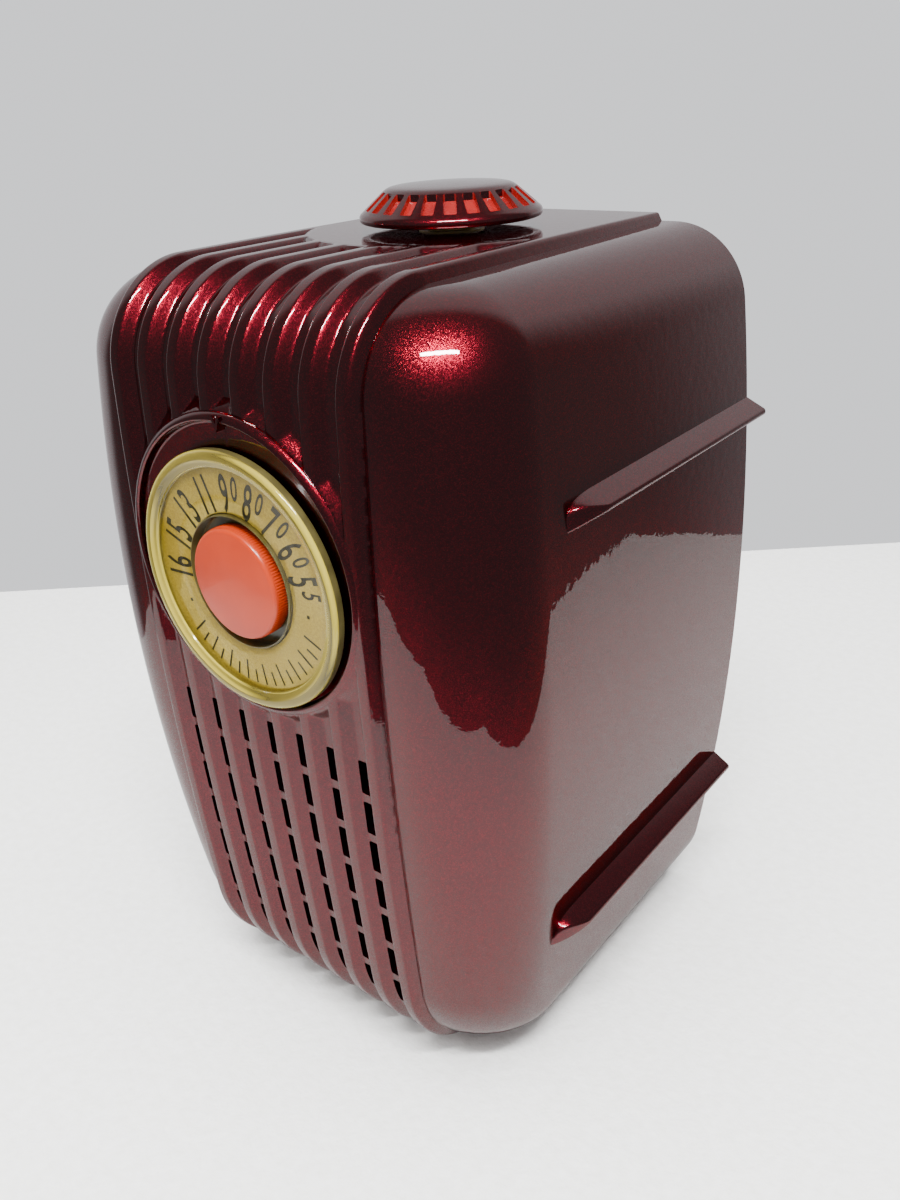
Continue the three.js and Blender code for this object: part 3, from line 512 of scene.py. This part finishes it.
def dial_well():
    """The tube the knob stands in, and its floor, which the knob's shaft comes through."""
    floor, wall = -59.2, WELL - 0.35
    profile = [(5.3, floor), (wall - 0.4, floor), (wall, floor - 0.4), (wall, LENS["face"] + 0.1)]
    profile += [(WELL - 0.28, LENS["face"] - 0.05), (WELL + 0.05, LENS["face"] + 0.1)]
    profile += [(WELL + 0.05, PRINT + 0.9), (20.1, PRINT + 1.3), (20.1, -59.8), (WELL + 0.9, -59.7)]
    profile += [(WELL + 0.9, floor + 0.9), (5.3, floor + 0.9)]
    return lathe("dial_well", profile, 128, (0, DIAL_Z), "y", 40)


def figure(text, size, narrow, radius, clockwise):
    """Flat digits just over the print, upright towards the rim, whose feet stand on a circle."""
    curve = bpy.data.curves.new("figure", "FONT")
    curve.body = text
    curve.size = size * MM
    curve.align_x = "CENTER"
    curve.resolution_u = 4
    curve.offset = 0.014 * size * MM
    obj = bpy.data.objects.new("figure", curve)
    bpy.context.scene.collection.objects.link(obj)
    flat = bpy.data.meshes.new_from_object(obj.evaluated_get(bpy.context.evaluated_depsgraph_get()))
    bpy.data.objects.remove(obj)
    local = np.array([v.co[:] for v in flat.vertices]) / MM
    faces = [tuple(reversed(p.vertices)) for p in flat.polygons]
    angle = math.radians(clockwise)
    u, v = local[:, 0] * narrow, local[:, 1] + radius
    x = u * math.cos(angle) + v * math.sin(angle)
    z = -u * math.sin(angle) + v * math.cos(angle)
    points = np.stack([x, np.full(len(x), PRINT - 0.05), z + DIAL_Z], 1)
    return mesh_object("figure", points, faces)


def bar(width, low, high, clockwise):
    """A printed stroke along a radius, from low to high."""
    angle = math.radians(clockwise)
    corners = [(-width / 2, low), (width / 2, low), (width / 2, high), (-width / 2, high)]
    points = []
    for u, v in corners:
        x = u * math.cos(angle) + v * math.sin(angle)
        z = v * math.cos(angle) - u * math.sin(angle)
        points.append((x, PRINT - 0.05, DIAL_Z + z))
    return mesh_object("bar", points, [(0, 1, 2, 3)])


def dial_figures():
    """The frequency scale round the top, and graduation marks round the foot."""
    marks = []
    for number, large in enumerate(("16", "15", "13", "11")):
        marks.append(figure(large, 13.6, 0.47, 18.1, -93 + number * 23.6))
    for number, (large, small) in enumerate(("90", "80", "70", "60", "55")):
        turn = 1 + number * 19.8
        marks.append(figure(large, 13.6, 0.45, 18.1, turn - 4.2))
        marks.append(figure(small, 8.6, 0.56, 21.6, turn + 4.6))
    for turn in (-116, 99):
        marks.append(bar(0.9, 22.4, 23.3, turn))
    for number in range(17):
        turn = 114 + number * 7.1
        long = number % 2 == 0
        marks.append(bar(0.55, 22.2 if long else 24.2, 28.0, turn))
    return join("dial_figures", marks)


def knob():
    """A domed cap with fine flutes round its side."""
    flutes = 120
    tip, side = KNOB["tip"], KNOB["rear"]
    profile = [(0, tip)]
    for t in np.linspace(0.12, 1, 10):
        profile.append(((KNOB_RADIUS - 1.3) * t, tip + 0.9 * t**2.2))
    for t in np.linspace(0.15, 1, 6):
        turn = t * math.pi / 2
        profile.append((KNOB_RADIUS - 1.3 + 1.1 * math.sin(turn), tip + 0.9 + 1.1 * (1 - math.cos(turn))))
    start = len(profile)
    for height in np.linspace(tip + 2.3, side - 0.25, 5):
        profile.append((KNOB_RADIUS - 0.05, height))
    profile += [(KNOB_RADIUS - 0.35, side), (3.2, side), (3.2, tip + 2.6), (0, tip + 2.6)]

    def wobble(number, angles):
        if not start <= number < start + 5:
            return 0 * angles
        deep = 0.26 if start < number < start + 4 else 0.18
        return -deep * (0.5 - 0.5 * np.cos(flutes * angles)) ** 0.8

    return lathe("knob_cap", profile, flutes * 6, (0, DIAL_Z), "y", 60, wobble)


def handle():
    """The top disc: a cap with a crown, a cone with pockets, and a rounded rim."""
    r = HANDLE_RADIUS
    top, rim = HANDLE_TOP, HANDLE_RIM
    profile = [(0, top - 2.0), (15.5, top - 2.4), (r - 2.6, rim + 1.2), (r - 2.6, rim + 0.1), (r - 2.2, rim)]
    profile += [(r - 0.8, rim), (r - 0.3, rim + 0.2), (r, rim + 0.7), (r - 0.02, rim + 1.6)]
    profile += [(r - 0.35, rim + 2.2), (r - 0.95, rim + 2.65)]
    profile += [(18.1, top - 1.55), (17.4, top - 1.05), (16.6, top - 0.72), (15.4, top - 0.48)]
    profile += [(12, top - 0.26), (8, top - 0.12), (4, top - 0.03), (0, top)]
    body = lathe("handle_cap", profile, 192, (0, HANDLE_Y), "z")
    cutters = []
    outline = rounded_outline(2.6, 1.7, 0.45, 3)
    for number in range(POCKET["count"]):
        angle = (number + 0.5) / POCKET["count"] * 2 * math.pi

        def place(u, v, d, angle=angle):
            out = u + POCKET["reach"]
            x = out * math.cos(angle) - v * math.sin(angle)
            y = out * math.sin(angle) + v * math.cos(angle)
            return x, HANDLE_Y + y, rim + POCKET["rise"] - POCKET["slope"] * u + d

        cutters.append(prism("slot", outline, -POCKET["deep"], 4, place))
    combine(body, join("slots", cutters), "DIFFERENCE")
    profile = [(4.1, rim - 0.5), (8, rim - 0.5), (8, top - 1.5), (4.1, top - 1.5)]
    boss = lathe("boss", profile, 48, (0, HANDLE_Y), "z")
    combine(body, boss, "UNION")
    shade(body, 35)
    return body


# ---------------------------------------------------------------- materials
class Paint:
    """A node material around one Principled shader."""

    def __init__(self, name, **sockets):
        self.material = bpy.data.materials.new(name)
        self.material.use_nodes = True
        self.tree = self.material.node_tree
        self.shader = self.tree.nodes["Principled BSDF"]
        for key, value in sockets.items():
            self.shader.inputs[key.replace("_", " ")].default_value = value
        self.place = self.tree.nodes.new("ShaderNodeTexCoord").outputs["Object"]

    def node(self, kind, links=None, **settings):
        node = self.tree.nodes.new("ShaderNode" + kind)
        for key, value in settings.items():
            setattr(node, key, value)
        for key, value in (links or {}).items():
            socket = node.inputs[key]
            if isinstance(value, bpy.types.NodeSocket):
                self.tree.links.new(value, socket)
            else:
                socket.default_value = value
        return node

    def link(self, output, key):
        self.tree.links.new(output, self.shader.inputs[key])

    def noise(self, scale, detail=3.0, stretch=None):
        place = self.place
        if stretch:
            place = self.node("Mapping", {"Vector": place, "Scale": stretch}).outputs[0]
        return self.node("TexNoise", {"Vector": place, "Scale": scale, "Detail": detail}).outputs[0]

    def ramp(self, value, stops):
        node = self.node("ValToRGB", {"Fac": value})
        ramp = node.color_ramp
        while len(ramp.elements) < len(stops):
            ramp.elements.new(0.5)
        for element, (position, color) in zip(ramp.elements, stops):
            element.position = position
            element.color = (*color, 1)
        return node.outputs[0]

    def bump(self, height, strength, distance, socket="Normal"):
        node = self.node("Bump", {"Height": height, "Strength": strength, "Distance": distance})
        self.link(node.outputs[0], socket)


def lacquer(name, dark, middle, light):
    """Candy lacquer: red flake under a wet clear coat."""
    paint = Paint(name, Metallic=1.0, Roughness=0.3)
    paint.shader.inputs["Specular Tint"].default_value = (0.4, 0.08, 0.1, 1)
    paint.shader.inputs["Coat Weight"].default_value = 1.0
    paint.shader.inputs["Coat Roughness"].default_value = 0.018
    paint.shader.inputs["Coat IOR"].default_value = 1.6
    flake = paint.node("TexVoronoi", {"Vector": paint.place, "Scale": 5200.0})
    shine = paint.node("SeparateColor", {"Color": flake.outputs["Color"]}).outputs[0]
    tint = paint.ramp(shine, [(0.0, dark), (0.7, middle), (1.0, light)])
    paint.link(tint, "Base Color")
    centred = paint.node("VectorMath", {0: flake.outputs["Color"], 1: (-0.5, -0.5, -0.5)}, operation="ADD")
    small = paint.node("VectorMath", {0: centred.outputs[0], "Scale": 0.2}, operation="SCALE")
    normal = paint.node("NewGeometry").outputs["Normal"]
    tilted = paint.node("VectorMath", {0: normal, 1: small.outputs[0]}, operation="ADD")
    unit = paint.node("VectorMath", {0: tilted.outputs[0]}, operation="NORMALIZE")
    paint.link(unit.outputs[0], "Normal")
    peel = paint.noise(330.0, 2.0)
    paint.bump(peel, 0.012, 0.002, "Coat Normal")
    return paint.material


def gold():
    paint = Paint("gold_print", Metallic=0.35, Roughness=0.42)
    grain = paint.noise(1500.0, 2.0)
    broad = paint.noise(35.0, 2.0)
    mixed = paint.node("Math", {0: grain, 1: broad}, operation="MULTIPLY").outputs[0]
    tint = paint.ramp(mixed, [(0.15, (0.31, 0.23, 0.03)), (0.4, (0.45, 0.35, 0.06))])
    paint.link(tint, "Base Color")
    paint.shader.inputs["Coat Weight"].default_value = 0.9
    paint.shader.inputs["Coat IOR"].default_value = 2.2
    paint.shader.inputs["Coat Roughness"].default_value = 0.05
    paint.bump(grain, 0.08, 0.0002)
    return paint.material


def clear():
    """Clear moulded plastic over the print: light passes straight through, and the surface shines."""
    paint = Paint("clear_plastic")
    tree = paint.tree
    tree.nodes.remove(paint.shader)
    output = tree.nodes["Material Output"]
    haze = paint.ramp(paint.noise(60.0, 3.0), [(0.3, (0.97, 0.95, 0.82)), (0.7, (0.93, 0.9, 0.72))])
    through = paint.node("BsdfTransparent", {"Color": haze})
    gloss = paint.node("BsdfGlossy", {"Roughness": 0.03, "Color": (1, 1, 1, 1)})
    edge = paint.node("Fresnel", {"IOR": 1.3})
    inside = paint.node("NewGeometry").outputs["Backfacing"]
    outside = paint.node("Math", {0: 1.0, 1: inside}, operation="SUBTRACT")
    share = paint.node("Math", {0: edge.outputs[0], 1: outside.outputs[0]}, operation="MULTIPLY")
    mix = paint.node("MixShader", {0: share.outputs[0], 1: through.outputs[0], 2: gloss.outputs[0]})
    tree.links.new(mix.outputs[0], output.inputs["Surface"])
    return paint.material


def amber_painted_bevel_light():
    """The lens's rim: amber, with painted light and shade that is lighter and darker by how squarely it
    faces, in place of the light gathering in its bevel.
    """
    paint = Paint("amber_rim_painted_light", Roughness=0.1, IOR=1.5)
    facing = paint.node("LayerWeight", {"Blend": 0.5}).outputs["Facing"]
    # Painted light and shade: bright face-on, darkest at a slant, and bright again towards a glance
    stops = [(0.0, (0.46, 0.37, 0.05)), (0.24, (0.34, 0.27, 0.035)), (0.34, (0.09, 0.07, 0.012))]
    stops += [(0.5, (0.2, 0.155, 0.025)), (0.8, (0.46, 0.37, 0.05))]
    tint = paint.ramp(facing, stops)
    paint.link(tint, "Base Color")
    paint.shader.inputs["Transmission Weight"].default_value = 0.25
    paint.shader.inputs["Coat Weight"].default_value = 0.35
    paint.shader.inputs["Coat Roughness"].default_value = 0.03
    return paint.material


def plastic(name, dark, light, roughness, coat=0.0, scale=180.0, grain=0.02):
    paint = Paint(name, Roughness=roughness)
    mottle = paint.noise(scale, 4.0)
    paint.link(paint.ramp(mottle, [(0.3, dark), (0.7, light)]), "Base Color")
    limits = {"To Min": roughness - 0.05, "To Max": roughness + 0.08}
    spread = paint.node("MapRange", {"Value": paint.noise(scale * 3, 2.0), **limits})
    paint.link(spread.outputs[0], "Roughness")
    paint.shader.inputs["Coat Weight"].default_value = coat
    paint.shader.inputs["Coat Roughness"].default_value = 0.08
    paint.bump(paint.noise(scale * 8, 2.0), grain, 0.0004)
    return paint.material


def metal(name, dark, light, roughness):
    paint = Paint(name, Metallic=1.0, Roughness=roughness)
    brush = paint.noise(260.0, 3.0, (1, 1, 14))
    paint.link(paint.ramp(brush, [(0.3, dark), (0.7, light)]), "Base Color")
    spread = paint.node("MapRange", {"Value": brush, "To Min": roughness - 0.07, "To Max": roughness + 0.1})
    paint.link(spread.outputs[0], "Roughness")
    paint.bump(brush, 0.05, 0.0002)
    return paint.material


def cloth():
    paint = Paint("grille_weave", Roughness=0.9)
    weave = []
    for direction in ("X", "Z"):
        threads = {"Vector": paint.place, "Scale": 420.0, "Distortion": 0.4}
        wave = paint.node("TexWave", threads, bands_direction=direction)
        weave.append(wave.outputs[1])
    cross = paint.node("Math", {0: weave[0], 1: weave[1]}, operation="MULTIPLY").outputs[0]
    paint.link(paint.ramp(cross, [(0.0, (0.008, 0.005, 0.003)), (1.0, (0.05, 0.03, 0.018))]), "Base Color")
    paint.bump(cross, 0.5, 0.0004)
    return paint.material


def board():
    paint = Paint("pressed_board", Roughness=0.82)
    fibre = paint.noise(420.0, 6.0, (1, 1, 2.5))
    patch = paint.noise(30.0, 3.0)
    mixed = paint.node("Math", {0: fibre, 1: patch}, operation="MULTIPLY").outputs[0]
    paint.link(paint.ramp(mixed, [(0.12, (0.05, 0.027, 0.015)), (0.4, (0.12, 0.07, 0.04))]), "Base Color")
    paint.bump(fibre, 0.35, 0.0004)
    return paint.material


def glass():
    paint = Paint("valve_glass", Roughness=0.04)
    tint = paint.ramp(paint.noise(50.0, 2.0), [(0.3, (0.6, 0.64, 0.65)), (0.7, (0.8, 0.84, 0.85))])
    paint.link(tint, "Base Color")
    paint.shader.inputs["Transmission Weight"].default_value = 0.8
    return paint.material


def felt(name, dark, light):
    """A short-pile cover, mottled between two near greys."""
    paint = Paint(name, Roughness=0.95)
    stops = [(0.3, (dark, dark * 0.995, dark * 0.965)), (0.7, (light, light, light * 0.985))]
    paint.link(paint.ramp(paint.noise(260.0, 6.0), stops), "Base Color")
    paint.bump(paint.noise(420.0, 5.0), 0.35, 0.0012)
    return paint.material


RED = lacquer("candy_lacquer", (0.07, 0.0015, 0.006), (0.12, 0.0025, 0.009), (0.24, 0.006, 0.014))
# Painted light: a brighter red for the pockets in the top disc, in place of the light falling into them
POCKET_RED_PAINTED_LIGHT = plastic("pocket_red_painted_light", (0.13, 0.003, 0.003), (0.2, 0.006, 0.005), 0.25, 0.6)
ORANGE = plastic("orange_plastic", (0.3, 0.022, 0.003), (0.34, 0.028, 0.005), 0.3, 0.2, 120.0, 0.015)
PAINTS = {
    "lacquer": RED,
    "fibreboard": board(),
    "plated_steel": metal("plated_steel", (0.42, 0.42, 0.43), (0.6, 0.6, 0.61), 0.35),
    "aluminium": metal("satin_aluminium", (0.6, 0.61, 0.62), (0.75, 0.76, 0.77), 0.32),
    "brass": metal("turned_brass", (0.5, 0.36, 0.14), (0.72, 0.56, 0.27), 0.28),
    "dark_bakelite": plastic("dark_bakelite", (0.012, 0.007, 0.005), (0.03, 0.018, 0.012), 0.3, 0.3),
    "waxed_coil": plastic("waxed_coil", (0.22, 0.09, 0.03), (0.4, 0.2, 0.07), 0.55, 0.0, 400.0, 0.2),
    "rubber": plastic("black_rubber", (0.012, 0.012, 0.012), (0.03, 0.03, 0.03), 0.75, 0.0, 300.0, 0.15),
    "cloth": cloth(),
    "cone_paper": plastic("cone_paper", (0.012, 0.011, 0.01), (0.035, 0.032, 0.03), 0.9, 0.0, 500.0, 0.3),
    "valve_glass": glass(),
    "gold_print": gold(),
    "clear_plastic": clear(),
    "orange_plastic": ORANGE,
}
INK = plastic("black_ink", (0.006, 0.006, 0.006), (0.015, 0.014, 0.012), 0.5)
# Painted shade: a dark olive for the clear lens rim's outer side and back, in place of the shade seen in the
# rim
OLIVE_PAINTED_SHADE = plastic("olive_painted_shade", (0.035, 0.028, 0.008), (0.075, 0.062, 0.02), 0.3, 0.4)


def dress(obj, *materials):
    obj.data.materials.clear()
    for material in materials:
        obj.data.materials.append(material)


# ---------------------------------------------------------------- pieces
def piece(obj, body, slot, *materials, replaces=()):
    dress(obj, *(materials or (PAINTS[slot],)))
    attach(obj, body)
    if replaces:
        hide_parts(*replaces)
    return obj


def build_pieces():
    for part in frame["record"]["subparts"]:
        dress(frame["nodes"][part["node"]], PAINTS[part["material_slot"]])
    piece(cabinet(), "housing", "lacquer", replaces=["cabinet"])
    piece(dial_face(), "tuning", "gold_print", replaces=["dial_disc"])
    coats = (PAINTS["clear_plastic"], amber_painted_bevel_light(), OLIVE_PAINTED_SHADE)
    cover = piece(dial_cover(), "tuning", "clear_plastic", *coats, replaces=["dial_lens"])
    # The rim's outer side and back take the dark olive, which is painted shade; the window is clear and the
    # rest of the rim is amber
    for polygon in cover.data.polygons:
        x, y, z = polygon.center / MM
        out = math.hypot(x, z - DIAL_Z)
        behind = out > LENS["rim"] and y + MIDDLE > LENS["crest"] + 1.2
        polygon.material_index = 2 if behind else int(out > LENS["window"])
    piece(dial_figures(), "tuning", "gold_print", INK)
    piece(dial_well(), "tuning", "brass", OLIVE_PAINTED_SHADE, replaces=["tuning_hub"])
    piece(knob(), "volume", "orange_plastic", replaces=["volume_knob"])
    top_disc = piece(handle(), "handle", "lacquer", RED, POCKET_RED_PAINTED_LIGHT, replaces=["handle_disc"])
    # The pockets' floors and walls take the brighter red, which is painted light
    for polygon in top_disc.data.polygons:
        x, y, z = polygon.center / MM + Vector((0, MIDDLE - HANDLE_Y, 0))
        out = math.hypot(x, y)
        cone = HANDLE_RIM + POCKET["rise"] - POCKET["slope"] * (out - POCKET["reach"])
        floor = cone - POCKET["deep"]
        polygon.material_index = int(17.9 < out < 23.2 and floor - 0.3 < z < cone - 0.35)


# ---------------------------------------------------------------- studio
def make_camera():
    azimuth, elevation, roll = CAMERA["azimuth"], CAMERA["elevation"], CAMERA["roll"]
    run = math.cos(elevation)
    forward = Vector(
        (-math.sin(azimuth) * run, math.cos(azimuth) * run, -math.sin(elevation))
    )
    level = Vector((math.cos(azimuth), math.sin(azimuth), 0))
    upright = level.cross(forward)
    right = level * math.cos(roll) + upright * math.sin(roll)
    up = upright * math.cos(roll) - level * math.sin(roll)
    data = bpy.data.cameras.new("camera")
    data.lens = CAMERA["lens"]
    camera = bpy.data.objects.new("camera", data)
    bpy.context.scene.collection.objects.link(camera)
    turned = Matrix((right, up, -forward)).transposed().to_4x4()
    camera.matrix_world = Matrix.Translation(CAMERA_PLACE) @ turned
    bpy.context.scene.camera = camera


def floor_panel(name, corners, height):
    mesh = bpy.data.meshes.new(name)
    mesh.from_pydata([(x, y, height) for x, y in corners], [], [tuple(range(len(corners)))])
    obj = bpy.data.objects.new(name, mesh)
    bpy.context.scene.collection.objects.link(obj)
    return obj


def make_floor():
    azimuth = CAMERA["azimuth"]
    behind, before, half = FLOOR_SIZE["behind"], FLOOR_SIZE["before"], FLOOR_SIZE["half"]
    back = Vector((-math.sin(azimuth), math.cos(azimuth)))
    across = Vector((math.cos(azimuth), math.sin(azimuth)))
    corners = [back * behind - across * half, back * -before - across * half]
    corners += [back * -before + across * half, back * behind + across * half]
    floor = floor_panel("floor", [c[:] for c in corners], 0.0)
    table = floor_panel("table", TABLE, TABLE_LEVEL)
    floor.visible_glossy = False
    for flag in ("visible_camera", "visible_diffuse", "visible_shadow", "visible_transmission"):
        setattr(table, flag, False)
    dress(floor, felt("pale_floor", 0.88, 0.95))
    dress(table, felt("reflected_floor", 0.32, 0.38))


def area(name, direction, distance, size, power, glossy):
    light = bpy.data.lights.new(name, "AREA")
    light.shape = "RECTANGLE"
    light.size, light.size_y = size
    light.energy = power
    obj = bpy.data.objects.new(name, light)
    bpy.context.scene.collection.objects.link(obj)
    way = Vector(direction).normalized()
    obj.location = Vector(AIM) + way * distance
    obj.rotation_euler = way.to_track_quat("Z", "Y").to_euler()
    obj.visible_glossy = glossy


def make_lights():
    for light in LIGHTS:
        area(*light)
    world = bpy.data.worlds.new("studio")
    bpy.context.scene.world = world
    world.use_nodes = True
    tree = world.node_tree
    shader = tree.nodes["Background"]
    place = tree.nodes.new("ShaderNodeTexCoord").outputs["Generated"]
    facing = tree.nodes.new("ShaderNodeVectorMath")
    facing.operation = "DOT_PRODUCT"
    tree.links.new(place, facing.inputs[0])
    facing.inputs[1].default_value = SKY_SIDE
    spread = tree.nodes.new("ShaderNodeMapRange")
    spread.interpolation_type = "SMOOTHSTEP"
    tree.links.new(facing.outputs["Value"], spread.inputs["Value"])
    spread.inputs["From Min"].default_value = SKY["fade_from"]
    spread.inputs["From Max"].default_value = SKY["fade_to"]
    spread.inputs["To Min"].default_value = SKY["dark"]
    spread.inputs["To Max"].default_value = SKY["bright"]
    ray = tree.nodes.new("ShaderNodeLightPath")
    pick = tree.nodes.new("ShaderNodeMix")
    pick.data_type = "FLOAT"
    tree.links.new(ray.outputs["Is Camera Ray"], pick.inputs[0])
    tree.links.new(spread.outputs[0], pick.inputs[2])
    pick.inputs[3].default_value = SKY["seen"]
    tree.links.new(pick.outputs[0], shader.inputs["Strength"])
    shader.inputs["Color"].default_value = SKY_COLOR


make_camera()
build_pieces()
make_floor()
make_lights()
